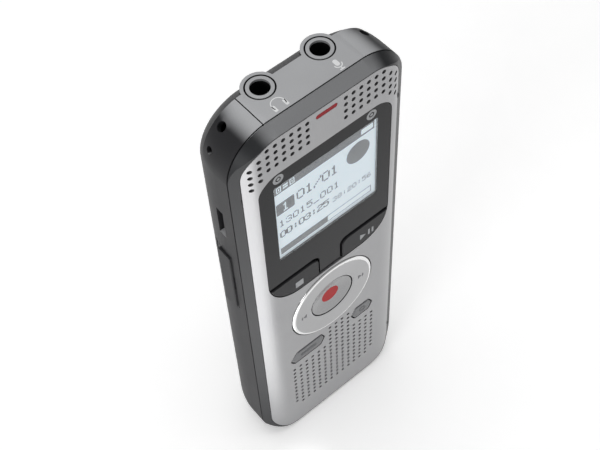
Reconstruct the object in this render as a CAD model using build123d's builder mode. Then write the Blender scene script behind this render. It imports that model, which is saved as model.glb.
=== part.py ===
"""Handheld voice recorder: metal-faced pocket dictation machine, as an assembly of separate pieces.

Frame: X is the width, with the hold switch on +X. The face looks along -Y. +Z runs up to the sockets.
The origin is on the bottom end, under the middle of the bounding box. Every size is in millimetres.
"""

from build123d import *

import math
import os

# ---- overall sizes ----
BODY_WIDTH = 38.7
BODY_HEIGHT = 108.0
BODY_DEPTH = 19.0
CORNER_R = 9.3            # outline corner, seen from the front
WALL = 1.2                # housing wall
FIT_GAP = 0.1             # gap round a fixed part in its recess
KEY_GAP = 0.2             # gap round a part that moves
RUN_GAP = 0.3             # play at each end of the hold switch
STROKE = 0.3              # travel of every key
TRAVEL_STOP = STROKE + 0.03  # key to rubber keypad

# ---- the face ----
PROUD = 0.3               # what the keys and the ring stand proud of the face plate
PLATE_T = 0.8
PLATE_INSET = 1.45        # from the top and bottom ends to the plate's edge
PLATE_SIDE = 1.8          # from the widest side to the plate's edge
PLATE_R = 7.4
FACE_CURVE_W = 6.25       # width of the curved zone at each side of the flat face
FACE_CURVE_R = 7.5        # radius at which the face turns back to the sides
BEVEL_IN = 1.2            # how far the bevel band comes in between seam and face
WEB_T = 1.2               # wall behind the face plate
SEAM_DEPTH = 2.54         # from the face back to the seam of the two housings

# ---- the back ----
SIDE_R = 12.2             # radius that rounds the sides into the back
BACK_TOP_R = 22.33        # radius that slopes the back up to the top end
CREASE_DEPTH = 10.04      # from the face back to the edge of the flat top end
BASE_FLAT = 15.2          # depth of the flat bottom end, from the face
BACK_STEPS = 5            # outlines that each stretch of the back is drawn through
SEAM_GROOVE = 0.3
SEAM_GROOVE_DEEP = 0.35

# ---- display and dark window ----
LENS_HALF_W = 15.17
LENS_FROM_TOP = 10.5
LENS_BOTTOM = 57.1
LENS_TOP_R = 4.3
LENS_BOTTOM_R = 7.6
LENS_SINK = 0.3           # window surface below the face plate
LENS_T = 1.0
KEY_H = 6.2               # height of the play and stop keys
KEY_MIDDLE = 2.85         # half the tongue of window between the two keys
KEY_CORNER_R = 1.7        # their upper inner corner
LCD_HALF_W = 11.85
LCD_FROM_LENS_TOP = 4.0
LCD_H = 22.4
LCD_RIM = 1.2             # glass outside the visible picture
LCD_T = 1.0
BACKLIGHT_T = 0.9

# ---- keys ----
KEY_FLANGE = 0.4          # flange width behind the opening
KEY_FLANGE_T = 0.3
RING_R = 10.6
RING_FROM_LENS = 0.8      # ring to the window above it
RECORD_R = 5.3
RECORD_GAP = 0.25         # between the record button and the ring
KEY_ROW_FROM_RING = 3.9   # middle of the menu and index keys below the ring
RECORD_DISH = 0.7
DOT_R = 2.2
DOT_T = 0.4

# ---- perforations ----
MIC_COLUMNS = 8
MIC_ROWS = 4
MIC_FIRST_X = 4.18
MIC_PITCH_X = 1.7
MIC_PITCH_Z = 1.68
MIC_FROM_TOP = 2.9
MIC_HOLE_R = 0.45
SPK_COLUMNS = 14
SPK_ROWS = 11
SPK_PITCH_X = 1.707
SPK_PITCH_Z = 1.693
SPK_FROM_KEYS = 4.7       # first row of the full block below the small keys
SPK_HOLE_R = 0.38
SPK_EXTRA_ROWS = 4        # rows that carry on up between the two small keys
LED_W = 4.6
LED_H = 0.9
LED_FROM_TOP = 3.0

# ---- top end ----
JACK_X = 6.45
JACK_BORE_R = 1.8         # socket for a 3.5 mm plug
JACK_DEPTH = 14.5
COLLAR_R = 2.45
COLLAR_T = 0.5
COLLAR_HOLE_R = 2.76
BOSS_R = 3.4
CAP_T = 2.6
CAP_LEFT = 10.87          # seam of the cap, left of the middle
STRAP_HOLE_R = 0.95
STRAP_HOLE_SMALL_R = 0.75
STRAP_ANGLES = (54.0, 24.0)
STRAP_DEPTH = 8.1         # strap holes behind the face

# ---- sides ----
USB_Z = 84.0
USB_DEPTH = 6.6           # middle of the socket behind the face
USB_W = 7.4
USB_H = 1.9
CARD_LOW = 56.0
CARD_HIGH = 74.2
CARD_FRONT = 5.1          # card door behind the face, front and rear edges
CARD_REAR = 10.3
CARD_T = 1.1
HOLD_Z = 80.0
HOLD_TRAVEL = 3.0
HOLD_KNOB = 5.0
HOLD_WIDE = 2.4

# ---- inside ----
BOARD_T = 1.0
BOARD_SIDE = 1.75         # board edge to the outside of the case
BOARD_FROM_TOP = 4.1
BOARD_FROM_SPEAKER = 0.7
CELL_R = 5.25             # AAA cell
CELL_LENGTH = 44.5
CELL_NUB_R = 1.9
CELL_NUB = 0.8
CELL_LOW = 8.2
CELL_APART = 0.1          # half the gap between the two cells
CELL_PLAY = 0.6           # cell to the side wall of its bay
BAY_WALL = 0.8
SPRING_LENGTH = 3.3
CONTACT_T = 0.3
DOOR_OVER_BAY = 2.4       # door beyond the bay at each side
DOOR_TOP = 58.0
DOOR_GAP = 0.15
DOOR_EDGE = 4.3           # front edge of the door, from the back
SPEAKER_R = 9.8
SPEAKER_FROM_HOLES = 9.6  # middle of the speaker below the first full row of holes
SCREW_SIDE = 3.35         # screw to the outside of the case
SCREW_LOW = 12.0
SCREW_FROM_TOP = 14.0
SCREW_R = 0.7
SCREW_HEAD_R = 1.3
SCREW_HEAD_T = 0.9

# ---- derived places ----
HALF_W = BODY_WIDTH / 2
FACE_FLAT = HALF_W - FACE_CURVE_W
LENS_TOP = BODY_HEIGHT - LENS_FROM_TOP
LCD_HIGH = LENS_TOP - LCD_FROM_LENS_TOP
LCD_LOW = LCD_HIGH - LCD_H
KEY_TOP = LENS_BOTTOM + KEY_H
RING_Z = LENS_BOTTOM - RING_FROM_LENS - RING_R
RING_HOLE_R = RECORD_R + RECORD_GAP
KEY_ROW_Z = RING_Z - RING_R - KEY_ROW_FROM_RING
SPK_TOP_Z = KEY_ROW_Z - SPK_FROM_KEYS
SPEAKER_Z = SPK_TOP_Z - SPEAKER_FROM_HOLES
MIC_TOP_Z = BODY_HEIGHT - MIC_FROM_TOP
LED_Z = BODY_HEIGHT - LED_FROM_TOP
BOARD_HALF_W = HALF_W - BOARD_SIDE
BOARD_LOW = SPEAKER_Z + SPEAKER_R + BOARD_FROM_SPEAKER
BOARD_HIGH = BODY_HEIGHT - BOARD_FROM_TOP
CELL_X = CELL_R + CELL_APART
BAY_HALF_W = CELL_X + CELL_R + CELL_PLAY
DOOR_HALF_W = BAY_HALF_W + DOOR_OVER_BAY
SCREW_X = HALF_W - SCREW_SIDE
SCREW_Z = (SCREW_LOW, BODY_HEIGHT - SCREW_FROM_TOP)
FACE_Y = -BODY_DEPTH / 2 + PROUD
BACK_Y = BODY_DEPTH / 2
SEAM_Y = FACE_Y + SEAM_DEPTH
PLATE_BACK_Y = FACE_Y + PLATE_T
WEB_BACK_Y = PLATE_BACK_Y + WEB_T
KEYPAD_T = 0.4
KEYPAD_BACK_Y = WEB_BACK_Y + KEYPAD_T
SWITCH_Y = KEYPAD_BACK_Y + 0.55
BOARD_Y = SWITCH_Y + 1.0
BOARD_BACK_Y = BOARD_Y + BOARD_T
BAY_FLOOR_Y = BOARD_BACK_Y + 1.2
CELL_Y = BAY_FLOOR_Y + 0.35 + CELL_R
LENS_Y = FACE_Y + LENS_SINK
LENS_BACK_Y = LENS_Y + LENS_T
LCD_Y = LENS_BACK_Y + 0.05
KEY_STOP_Y = WEB_BACK_Y - TRAVEL_STOP
JACK_Y = FACE_Y + 9.2
CREASE_Y = FACE_Y + CREASE_DEPTH
CAP_LOW = BODY_HEIGHT - CAP_T
LEDGE_LOW = CAP_LOW - WALL
SCREW_PLACES = [(side * SCREW_X, z) for side in (-1, 1) for z in SCREW_Z]

os.makedirs("parts", exist_ok=True)


def save(piece, name):
    """Labels one finished piece and writes its file."""
    piece.part.label = name
    export_step(piece.part, f"parts/{name}.step")


def depth_plane(y):
    """Plane that faces the front at this y: its sketch x is X and its sketch y is Z."""
    return Plane.XZ.offset(-y)


def behind_face(shift):
    """Everything behind the curved face, with the face moved back by shift."""
    y = FACE_Y + shift
    turn = math.degrees(math.asin((HALF_W - PLATE_SIDE + 0.1 - FACE_FLAT) / FACE_CURVE_R))
    with BuildPart() as solid:
        with BuildSketch(Plane.XY.offset(-1)):
            with BuildLine():
                middle = Line((-FACE_FLAT, y), (FACE_FLAT, y))
                right = CenterArc((FACE_FLAT, y + FACE_CURVE_R), FACE_CURVE_R, -90, turn)
                left = CenterArc((-FACE_FLAT, y + FACE_CURVE_R), FACE_CURVE_R, -90, -turn)
                side_y = SEAM_Y + shift
                Line(right @ 1, (HALF_W, side_y))
                Line(left @ 1, (-HALF_W, side_y))
                Line((HALF_W, side_y), (HALF_W, BACK_Y + 1))
                Line((HALF_W, BACK_Y + 1), (-HALF_W, BACK_Y + 1))
                Line((-HALF_W, BACK_Y + 1), (-HALF_W, side_y))
            make_face()
        extrude(amount=BODY_HEIGHT + 2)
    return solid.part


def rounded_block(inset, front_y, rear_y):
    """Block of the body outline, inset all round, between two depths."""
    with BuildPart() as solid:
        with BuildSketch(depth_plane(rear_y)):
            with Locations((0, BODY_HEIGHT / 2)):
                RectangleRounded(BODY_WIDTH - 2 * inset, BODY_HEIGHT - 2 * inset, CORNER_R - inset)
        extrude(amount=rear_y - front_y)
    return solid.part


def plate_block(gap, front_y, rear_y):
    """Block of the face plate's outline, larger by gap all round."""
    with BuildPart() as solid:
        with BuildSketch(depth_plane(rear_y)):
            with Locations((0, BODY_HEIGHT / 2)):
                width = BODY_WIDTH - 2 * PLATE_SIDE + 2 * gap
                RectangleRounded(width, BODY_HEIGHT - 2 * PLATE_INSET + 2 * gap, PLATE_R + gap)
        extrude(amount=rear_y - front_y)
    return solid.part


def arc_reach(radius, deep):
    """How far an arc of this radius still reaches out at a distance along its depth."""
    return math.sqrt(max(0.0, radius**2 - deep**2))


def back_section(y, inset):
    """Half width, bottom, top and corner radius of the rear half's outline at depth y."""
    side_centre = BACK_Y - SIDE_R
    side_deep = max(0.0, y - side_centre)
    half = HALF_W - SIDE_R + arc_reach(SIDE_R - inset, side_deep)
    top = BODY_HEIGHT - inset
    if y > CREASE_Y:
        slope_centre_y = BACK_Y - BACK_TOP_R
        slope_centre_z = BODY_HEIGHT - arc_reach(BACK_TOP_R, CREASE_Y - slope_centre_y)
        top = min(top, slope_centre_z + arc_reach(BACK_TOP_R - inset, y - slope_centre_y))
    base_r = BACK_Y - FACE_Y - BASE_FLAT
    base_deep = max(0.0, y - (BACK_Y - base_r))
    bottom = base_r - arc_reach(base_r - inset, base_deep)
    return half, bottom, top, min(CORNER_R - inset, half - 0.6)


def back_sketch(y, inset):
    """Sketch of the rear half's outline at depth y."""
    half, bottom, top, corner_r = back_section(y, inset)
    with BuildSketch(depth_plane(y)) as outline:
        with Locations((0, (bottom + top) / 2)):
            RectangleRounded(2 * half, top - bottom, corner_r)
    return outline.sketch


def back_form(inset, front_y):
    """The rear half's solid form, inset all round: its outline shrinks towards the back on arcs."""
    start = BACK_Y - SIDE_R
    with BuildPart() as solid:
        add(back_sketch(start, inset))
        extrude(amount=start - front_y, dir=(0, -1, 0))
        for low, high in ((start, CREASE_Y), (CREASE_Y, BACK_Y - inset)):
            for step in range(BACK_STEPS + 1):
                turn = math.pi / 2 * step / BACK_STEPS
                share = math.sin(turn) if high > CREASE_Y else step / BACK_STEPS
                add(back_sketch(low + (high - low) * share, inset))
            loft()
    room = Pos(0, 0, BODY_HEIGHT / 2) * Box(BODY_WIDTH, 2 * BODY_DEPTH, BODY_HEIGHT - 2 * inset)
    return solid.part & room


def lens_outline(gap):
    """Sketch of the dark window's whole outline, smaller by gap all round."""
    half = LENS_HALF_W - gap
    low = LENS_BOTTOM + gap
    high = LENS_TOP - gap
    with BuildSketch() as outline:
        with Locations((0, (low + high) / 2)):
            Rectangle(2 * half, high - low)
        fillet(outline.vertices().group_by(Axis.Y)[-1], LENS_TOP_R - gap)
        fillet(outline.vertices().group_by(Axis.Y)[0], LENS_BOTTOM_R - gap)
    return outline.sketch


def key_outline(side, gap):
    """Sketch of the play key (side +1) or the stop key (side -1), smaller by gap all round."""
    inner = KEY_MIDDLE + gap
    with BuildSketch() as outline:
        add(lens_outline(gap))
        with Locations((side * (inner + LENS_HALF_W) / 2, LENS_BOTTOM)):
            Rectangle(LENS_HALF_W - inner, 2 * (KEY_TOP - LENS_BOTTOM - gap), mode=Mode.INTERSECT)
        corner = outline.vertices().sort_by_distance((side * inner, KEY_TOP - gap, 0))[0]
        fillet(corner, KEY_CORNER_R)
    return outline.sketch


# Corners of the small keys, across from the middle of the case and up from the middle of their row.
SMALL_KEYS = {
    "menu_key": [(-11.8, -0.4), (-10.0, 2.0), (-3.4, 2.0), (-2.5, 0.0), (-3.6, -2.0), (-10.7, -2.0)],
    "index_key": [(5.3, -0.2), (6.3, 2.0), (10.0, 2.0), (11.1, 0.0), (10.2, -2.0), (6.2, -2.0)],
}
SMALL_KEY_FILLET = 0.7


def small_key_outline(name, gap):
    """Sketch of one leaf-shaped key under the ring, grown by gap."""
    with BuildSketch() as outline:
        with BuildLine():
            Polyline(*[(x, KEY_ROW_Z + rise) for x, rise in SMALL_KEYS[name]], close=True)
        make_face()
        fillet(outline.vertices(), SMALL_KEY_FILLET)
        if gap:
            offset(amount=gap)
    return outline.sketch


def mic_places():
    """Centres of the microphone holes: rows that step down at the two outer columns."""
    places = []
    for column in range(MIC_COLUMNS):
        drop = max(0, column - (MIC_COLUMNS - 3))
        for row in range(MIC_ROWS):
            x = MIC_FIRST_X + column * MIC_PITCH_X
            z = MIC_TOP_Z - (row + drop) * MIC_PITCH_Z
            places += [(x, z), (-x, z)]
    return places


def speaker_places():
    """Centres of the speaker holes: a block, short at both ends, with four taller columns."""
    places = []
    for column in range(SPK_COLUMNS):
        x = (column - (SPK_COLUMNS - 1) / 2) * SPK_PITCH_X
        last = SPK_ROWS - 1 if column in (0, SPK_COLUMNS - 1) else SPK_ROWS
        first = -SPK_EXTRA_ROWS if 6 <= column <= 9 else 0
        places += [(x, SPK_TOP_Z - row * SPK_PITCH_Z) for row in range(first, last)]
    return places


# ==== face plate: pressed aluminium sheet, curved back at both long edges ====
with BuildPart() as front_plate:
    add(plate_block(0, FACE_Y - 1, SEAM_Y + 1))
    add(behind_face(0), mode=Mode.INTERSECT)
    add(behind_face(PLATE_T), mode=Mode.SUBTRACT)
    with BuildSketch(depth_plane(SEAM_Y)):
        add(lens_outline(0))
        with Locations((0, RING_Z)):
            Circle(RING_R + KEY_GAP)
        for key_name in SMALL_KEYS:
            add(small_key_outline(key_name, KEY_GAP))
        with Locations((0, LED_Z)):
            SlotOverall(LED_W + FIT_GAP, LED_H + FIT_GAP)
        with Locations(*mic_places()):
            Circle(MIC_HOLE_R)
        with Locations(*speaker_places()):
            Circle(SPK_HOLE_R)
    extrude(amount=SEAM_DEPTH + 1, mode=Mode.SUBTRACT)
save(front_plate, "front_plate")

# ==== front housing: bevel band, wall behind the plate and a locating lip ====
SCREW_POST_R = 1.8
LIP_T = 1.0
LIP_BACK_Y = SEAM_Y + 1.3
MIC_SLOT_X = (3.4, 13.0)
MIC_SLOT_Z = (MIC_TOP_Z - 5.5, MIC_TOP_Z + 0.5)
with BuildPart() as front_housing:
    with BuildSketch(depth_plane(SEAM_Y)):
        with Locations((0, BODY_HEIGHT / 2)):
            RectangleRounded(BODY_WIDTH, BODY_HEIGHT, CORNER_R)
    extrude(amount=SEAM_DEPTH, taper=math.degrees(math.atan(BEVEL_IN / SEAM_DEPTH)))
    add(behind_face(0), mode=Mode.INTERSECT)
    add(rounded_block(WALL + LIP_T, FACE_Y, SEAM_Y) & behind_face(PLATE_T + WEB_T), mode=Mode.SUBTRACT)
    lip_outer = rounded_block(WALL + FIT_GAP, WEB_BACK_Y, LIP_BACK_Y)
    add(lip_outer - rounded_block(WALL + LIP_T, WEB_BACK_Y, LIP_BACK_Y))
    with BuildSketch(depth_plane(BOARD_BACK_Y)):
        with Locations(*SCREW_PLACES):
            Circle(SCREW_POST_R)
    extrude(amount=BOARD_BACK_Y - WEB_BACK_Y + WEB_T / 2)
    add(plate_block(FIT_GAP, FACE_Y - 1, SEAM_Y + 1) - behind_face(PLATE_T), mode=Mode.SUBTRACT)
    with BuildSketch(depth_plane(LENS_BACK_Y)):
        add(lens_outline(0))
    extrude(amount=2, mode=Mode.SUBTRACT)
    with BuildSketch(depth_plane(LIP_BACK_Y)):
        with Locations((0, (LCD_LOW + LCD_HIGH) / 2)):
            lcd_high = LCD_HIGH - LCD_LOW + 2 * (LCD_RIM + FIT_GAP)
            Rectangle(2 * (LCD_HALF_W + LCD_RIM + FIT_GAP), lcd_high)
        for side in (-1, 1):
            add(key_outline(side, -KEY_FLANGE - FIT_GAP))
        with Locations((0, RING_Z)):
            Circle(RING_R + KEY_FLANGE + 2 * KEY_GAP)
        for key_name in SMALL_KEYS:
            add(small_key_outline(key_name, KEY_FLANGE + KEY_GAP))
        with Locations((0, LED_Z)):
            SlotOverall(LED_W + FIT_GAP, LED_H + FIT_GAP)
        with Locations((0, SPEAKER_Z)):
            Circle(SPEAKER_R - 1)
        with Locations((SPK_PITCH_X, SPK_TOP_Z + 1)):
            Rectangle(4 * SPK_PITCH_X, 2 * SPK_EXTRA_ROWS * SPK_PITCH_Z)
        for side in (-1, 1):
            with Locations((side * sum(MIC_SLOT_X) / 2, sum(MIC_SLOT_Z) / 2)):
                Rectangle(MIC_SLOT_X[1] - MIC_SLOT_X[0], MIC_SLOT_Z[1] - MIC_SLOT_Z[0])
    extrude(amount=LIP_BACK_Y - FACE_Y, mode=Mode.SUBTRACT)
    with BuildSketch(depth_plane(BOARD_BACK_Y)):
        with Locations(*SCREW_PLACES):
            Circle(SCREW_R + 0.02)
    extrude(amount=BOARD_BACK_Y - WEB_BACK_Y - 0.2, mode=Mode.SUBTRACT)
save(front_housing, "front_housing")


def block(low, high, mode=Mode.ADD):
    """Adds a box between two corners to the part being built."""
    middle = tuple((a + b) / 2 for a, b in zip(low, high))
    with Locations(middle):
        Box(*[b - a for a, b in zip(low, high)], mode=mode)


# ==== display window: dark acrylic, with the two key cut-outs at its lower edge ====
with BuildPart() as display_lens:
    with BuildSketch(depth_plane(LENS_BACK_Y)):
        add(lens_outline(FIT_GAP))
        for side in (-1, 1):
            add(key_outline(side, -KEY_GAP), mode=Mode.SUBTRACT)
    extrude(amount=LENS_T)
save(display_lens, "display_lens")

# ==== display: liquid crystal glass, light guide and the tray that holds both on the board ====
LCD_OUT_HALF_W = LCD_HALF_W + LCD_RIM
LCD_OUT_LOW = LCD_LOW - LCD_RIM
LCD_OUT_HIGH = LCD_HIGH + LCD_RIM
LCD_BACK_Y = LCD_Y + LCD_T
BACKLIGHT_BACK_Y = LCD_BACK_Y + BACKLIGHT_T
TRAY_WALL = 0.5
with BuildPart() as lcd_panel:
    block((-LCD_OUT_HALF_W, LCD_Y, LCD_OUT_LOW), (LCD_OUT_HALF_W, LCD_BACK_Y, LCD_OUT_HIGH))
save(lcd_panel, "lcd_panel")

with BuildPart() as lcd_backlight:
    block((-LCD_OUT_HALF_W, LCD_BACK_Y, LCD_OUT_LOW), (LCD_OUT_HALF_W, BACKLIGHT_BACK_Y, LCD_OUT_HIGH))
save(lcd_backlight, "lcd_backlight")

with BuildPart() as lcd_tray:
    tray_half_w = LCD_OUT_HALF_W + TRAY_WALL
    tray_low = (-tray_half_w, WEB_BACK_Y + FIT_GAP, LCD_OUT_LOW - TRAY_WALL)
    block(tray_low, (tray_half_w, BOARD_Y, LCD_OUT_HIGH + TRAY_WALL))
    pocket_low = (-LCD_OUT_HALF_W, LCD_Y, LCD_OUT_LOW)
    block(pocket_low, (LCD_OUT_HALF_W, BACKLIGHT_BACK_Y, LCD_OUT_HIGH), Mode.SUBTRACT)
save(lcd_tray, "lcd_tray")


# ==== play and stop keys: black caps, with a flange that the window traps ====
KEY_CROWN = 0.25
for key_name, side in (("play_key", 1), ("stop_key", -1)):
    with BuildPart() as key:
        with BuildSketch(depth_plane(KEY_STOP_Y)):
            add(key_outline(side, KEY_GAP))
        extrude(amount=KEY_STOP_Y - FACE_Y)
        fillet(key.faces().sort_by(Axis.Y)[0].edges(), KEY_CROWN)
        with BuildSketch(depth_plane(KEY_STOP_Y)):
            add(key_outline(side, KEY_GAP - KEY_FLANGE))
        extrude(amount=KEY_FLANGE_T)
    save(key, key_name)

# ==== menu and index keys: small leaf-shaped caps under the ring ====
SMALL_KEY_PROUD = 0.1
for key_name in SMALL_KEYS:
    with BuildPart() as key:
        with BuildSketch(depth_plane(KEY_STOP_Y)):
            add(small_key_outline(key_name, 0))
        extrude(amount=KEY_STOP_Y - FACE_Y + SMALL_KEY_PROUD)
        with BuildSketch(depth_plane(KEY_STOP_Y)):
            add(small_key_outline(key_name, KEY_FLANGE))
        extrude(amount=KEY_STOP_Y - PLATE_BACK_Y - FIT_GAP)
    save(key, key_name)


def turned(points):
    """Solid of revolution about the ring's axis, from (depth y, radius) points."""
    with BuildPart() as solid:
        with BuildSketch(Plane.YZ):
            with BuildLine():
                Polyline(*[(y, RING_Z + radius) for y, radius in points], close=True)
            make_face()
        revolve(axis=Axis((0, 0, RING_Z), (0, 1, 0)))
    return solid.part


# ==== navigation ring: plated, with a bright bevelled rim and a flange behind the plate ====
RING_BEVEL = 0.7
RING_FLANGE_Y = PLATE_BACK_Y + 0.35
RING_BACK_Y = RING_FLANGE_Y + 0.05
RING_FLANGE_BACK_Y = RING_FLANGE_Y + 0.3
GIMBAL_Y = RING_BACK_Y + 0.25
GIMBAL_T = 0.3
with BuildPart() as nav_ring:
    add(
        turned(
            [
                (RING_BACK_Y, RING_HOLE_R),
                (FACE_Y, RING_HOLE_R),
                (FACE_Y - PROUD / 2, RING_HOLE_R + RING_BEVEL / 2),
                (FACE_Y - PROUD, RING_R - RING_BEVEL),
                (FACE_Y, RING_R),
                (RING_FLANGE_Y, RING_R),
                (RING_FLANGE_Y, RING_R + KEY_FLANGE),
                (RING_FLANGE_BACK_Y, RING_R + KEY_FLANGE),
                (RING_FLANGE_BACK_Y, RING_R - KEY_FLANGE),
                (RING_BACK_Y, RING_R - KEY_FLANGE),
            ]
        )
    )
save(nav_ring, "nav_ring")

# ==== gimbal washer: sprung steel, lets the ring rock both ways ====
GIMBAL_IN_R = RING_HOLE_R + 0.45
GIMBAL_OUT_R = RING_R - 2.4
with BuildPart() as ring_gimbal:
    with BuildSketch(depth_plane(GIMBAL_Y + GIMBAL_T)):
        with Locations((0, RING_Z)):
            Circle(GIMBAL_OUT_R)
            Circle(GIMBAL_IN_R, mode=Mode.SUBTRACT)
    extrude(amount=GIMBAL_T)
save(ring_gimbal, "ring_gimbal")

# ==== record button: dished cap with a red inlay at the bottom of the dish ====
RECORD_RIM_Y = FACE_Y + 0.1
RECORD_RIM = 0.3
RECORD_STEM_R = 3.0
dish_r = RECORD_R - RECORD_RIM
dish_sphere_r = (dish_r**2 + RECORD_DISH**2) / (2 * RECORD_DISH)
DOT_Y = RECORD_RIM_Y + RECORD_DISH - DOT_R**2 / (2 * dish_sphere_r)
with BuildPart() as record_button:
    with BuildSketch(depth_plane(RING_BACK_Y)):
        with Locations((0, RING_Z)):
            Circle(RECORD_R)
    extrude(amount=RING_BACK_Y - RECORD_RIM_Y)
    with BuildSketch(depth_plane(KEY_STOP_Y)):
        with Locations((0, RING_Z)):
            Circle(RECORD_STEM_R)
    extrude(amount=KEY_STOP_Y - RING_BACK_Y)
    with Locations((0, RECORD_RIM_Y + RECORD_DISH - dish_sphere_r, RING_Z)):
        Sphere(dish_sphere_r, mode=Mode.SUBTRACT)
    with BuildSketch(depth_plane(DOT_Y + DOT_T)):
        with Locations((0, RING_Z)):
            Circle(DOT_R)
    extrude(amount=DOT_T + RECORD_DISH, mode=Mode.SUBTRACT)
save(record_button, "record_button")

with BuildPart() as record_dot:
    with BuildSketch(depth_plane(DOT_Y + DOT_T)):
        with Locations((0, RING_Z)):
            Circle(DOT_R)
    extrude(amount=DOT_T)
save(record_dot, "record_dot")

# ==== rubber keypad and the switches under it ====
KEYPAD_HALF_W = 12.9
KEYPAD_TOP = KEY_TOP + 1.2
NUB_R = 1.0
NUB = 0.35
ROCKER_R = RING_R - 1.6
BIG_KEY_Z = (LENS_BOTTOM + KEY_TOP) / 2
SWITCH_SIZE = 3.0
SWITCH_T = 0.6
SWITCH_PLACES = [
    (-9.2, BIG_KEY_Z),
    (9.2, BIG_KEY_Z),
    (0, RING_Z),
    (-ROCKER_R, RING_Z),
    (ROCKER_R, RING_Z),
    (0, RING_Z + ROCKER_R),
    (0, RING_Z - ROCKER_R),
    (-7.0, KEY_ROW_Z),
    (8.2, KEY_ROW_Z),
]
with BuildPart() as keypad:
    block((-KEYPAD_HALF_W, WEB_BACK_Y, BOARD_LOW), (KEYPAD_HALF_W, KEYPAD_BACK_Y, KEYPAD_TOP))
    with BuildSketch(depth_plane(KEYPAD_BACK_Y + NUB)):
        with Locations(*SWITCH_PLACES):
            Circle(NUB_R)
    extrude(amount=NUB)
save(keypad, "keypad")

with BuildPart() as dome_switches:
    with BuildSketch(depth_plane(BOARD_Y)):
        with Locations(*SWITCH_PLACES):
            Rectangle(SWITCH_SIZE, SWITCH_SIZE)
    extrude(amount=SWITCH_T)
    with BuildSketch(depth_plane(BOARD_Y - SWITCH_T)):
        with Locations(*SWITCH_PLACES):
            Circle(NUB_R)
    extrude(amount=BOARD_Y - SWITCH_T - SWITCH_Y)
save(dome_switches, "dome_switches")

# ==== circuit board, with notches for the screw posts, and its chips ====
BOARD_R = 7.0
with BuildPart() as main_board:
    with BuildSketch(depth_plane(BOARD_BACK_Y)):
        with Locations((0, (BOARD_LOW + BOARD_HIGH) / 2)):
            RectangleRounded(2 * BOARD_HALF_W, BOARD_HIGH - BOARD_LOW, BOARD_R)
        with Locations(*SCREW_PLACES):
            Circle(SCREW_POST_R + KEY_GAP, mode=Mode.SUBTRACT)
    extrude(amount=BOARD_T)
save(main_board, "main_board")

CHIP_T = 0.9
CHIPS = [(0.0, 86.0, 9.0), (6.0, 70.0, 7.0)]
with BuildPart() as board_chips:
    with BuildSketch(depth_plane(BOARD_BACK_Y + CHIP_T)):
        for x, z, size in CHIPS:
            with Locations((x, z)):
                Rectangle(size, size)
    extrude(amount=CHIP_T)
save(board_chips, "board_chips")

# ==== recording light: red bar through the plate, bent down to a lamp on the board ====
PIPE_LEG_LOW = LED_Z - 2.8
PIPE_LEG_HALF_W = 1.0
LAMP_T = 0.6
with BuildPart() as led_light_pipe:
    with BuildSketch(depth_plane(SEAM_Y)):
        with Locations((0, LED_Z)):
            SlotOverall(LED_W, LED_H)
    extrude(amount=SEAM_DEPTH)
    leg_top = LED_Z + LED_H / 2
    leg_front = WEB_BACK_Y + FIT_GAP
    leg_rear = BOARD_Y - LAMP_T - FIT_GAP
    block((-PIPE_LEG_HALF_W, leg_front, PIPE_LEG_LOW), (PIPE_LEG_HALF_W, leg_rear, leg_top))
save(led_light_pipe, "led_light_pipe")

with BuildPart() as record_lamp:
    block((-0.8, BOARD_Y - LAMP_T, PIPE_LEG_LOW), (0.8, BOARD_Y, PIPE_LEG_LOW + 1.0))
save(record_lamp, "record_lamp")

# ==== microphones: two capsules in rubber boots behind the upper perforations ====
MIC_R = 2.0
MIC_T = 1.5
MIC_X = 8.2
MIC_Z = MIC_TOP_Z - 2.6
BOOT_R = 2.7
MIC_PLACES = [(-MIC_X, MIC_Z), (MIC_X, MIC_Z)]
with BuildPart() as microphones:
    with BuildSketch(depth_plane(BOARD_Y)):
        with Locations(*MIC_PLACES):
            Circle(MIC_R)
    extrude(amount=MIC_T)
save(microphones, "microphones")

with BuildPart() as mic_boots:
    with BuildSketch(depth_plane(BOARD_Y)):
        with Locations(*MIC_PLACES):
            Circle(BOOT_R)
            Circle(MIC_R, mode=Mode.SUBTRACT)
    extrude(amount=BOARD_Y - PLATE_BACK_Y)
save(mic_boots, "mic_boots")

# ==== loudspeaker and its foam gasket ====
GASKET_T = 0.6
GASKET_IN_R = SPEAKER_R - 1
SPEAKER_FRONT_Y = WEB_BACK_Y + GASKET_T
SPEAKER_BACK_Y = BAY_FLOOR_Y - BAY_WALL - FIT_GAP
with BuildPart() as speaker_gasket:
    with BuildSketch(depth_plane(SPEAKER_FRONT_Y)):
        with Locations((0, SPEAKER_Z)):
            Circle(SPEAKER_R)
            Circle(GASKET_IN_R, mode=Mode.SUBTRACT)
    extrude(amount=GASKET_T)
save(speaker_gasket, "speaker_gasket")

MAGNET_R = 6.0
CONE_R = 8.6
CONE_DEEP = 0.8
with BuildPart() as speaker:
    with BuildSketch(depth_plane(SPEAKER_BACK_Y)):
        with Locations((0, SPEAKER_Z)):
            Circle(MAGNET_R)
    extrude(amount=SPEAKER_BACK_Y - SPEAKER_FRONT_Y)
    with BuildSketch(depth_plane(SPEAKER_BACK_Y - 1)):
        with Locations((0, SPEAKER_Z)):
            Circle(SPEAKER_R)
    extrude(amount=SPEAKER_BACK_Y - 1 - SPEAKER_FRONT_Y)
    with BuildSketch(depth_plane(SPEAKER_FRONT_Y + CONE_DEEP)):
        with Locations((0, SPEAKER_Z)):
            Circle(CONE_R)
            Circle(CONE_R / 3, mode=Mode.SUBTRACT)
    extrude(amount=CONE_DEEP, mode=Mode.SUBTRACT)
save(speaker, "speaker")


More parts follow.
